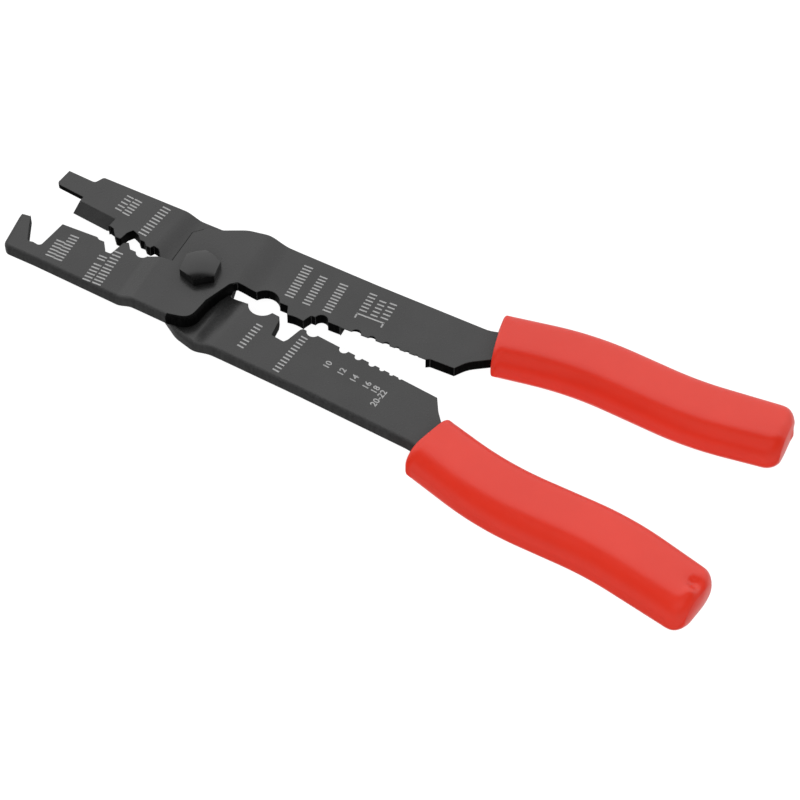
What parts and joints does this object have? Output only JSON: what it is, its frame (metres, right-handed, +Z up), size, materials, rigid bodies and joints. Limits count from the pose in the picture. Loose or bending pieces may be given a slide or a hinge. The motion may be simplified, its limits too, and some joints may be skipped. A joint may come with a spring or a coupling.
{
  "type": "wire stripper",
  "caption": "Flat plier-form wire stripper and crimper: two crossed steel plate levers on a domed bolt, with jaw and handle-side nests, stripping notches and moulded sleeves.",
  "frame": {"origin": "where the pivot's axis meets the surface that the tool lies on", "axes": "+X from the pivot towards the handles, midway between them, +Z up along the pivot out of the bolt's head, +Y towards the front lever's handle"},
  "size_m": [0.2463, 0.0818, 0.0148],
  "materials": {
    "plate": "satin black oxide",
    "bolt": "satin black oxide",
    "sleeve": "soft gloss red"
  },
  "bodies": {
    "front_half": {"front_lever": "plate", "front_grip": "sleeve", "pivot_bolt": "bolt", "pivot_nut": "bolt"},
    "rear_half": {"rear_lever": "plate", "rear_grip": "sleeve"}
  },
  "joints": [
    {"name": "opening", "type": "hinge", "parent": "front_half", "child": "rear_half", "pos_m": [0, 0, 0.00675], "axis": [0, 0, -1], "range_deg": [-7.6, 12.4]}
  ]
}
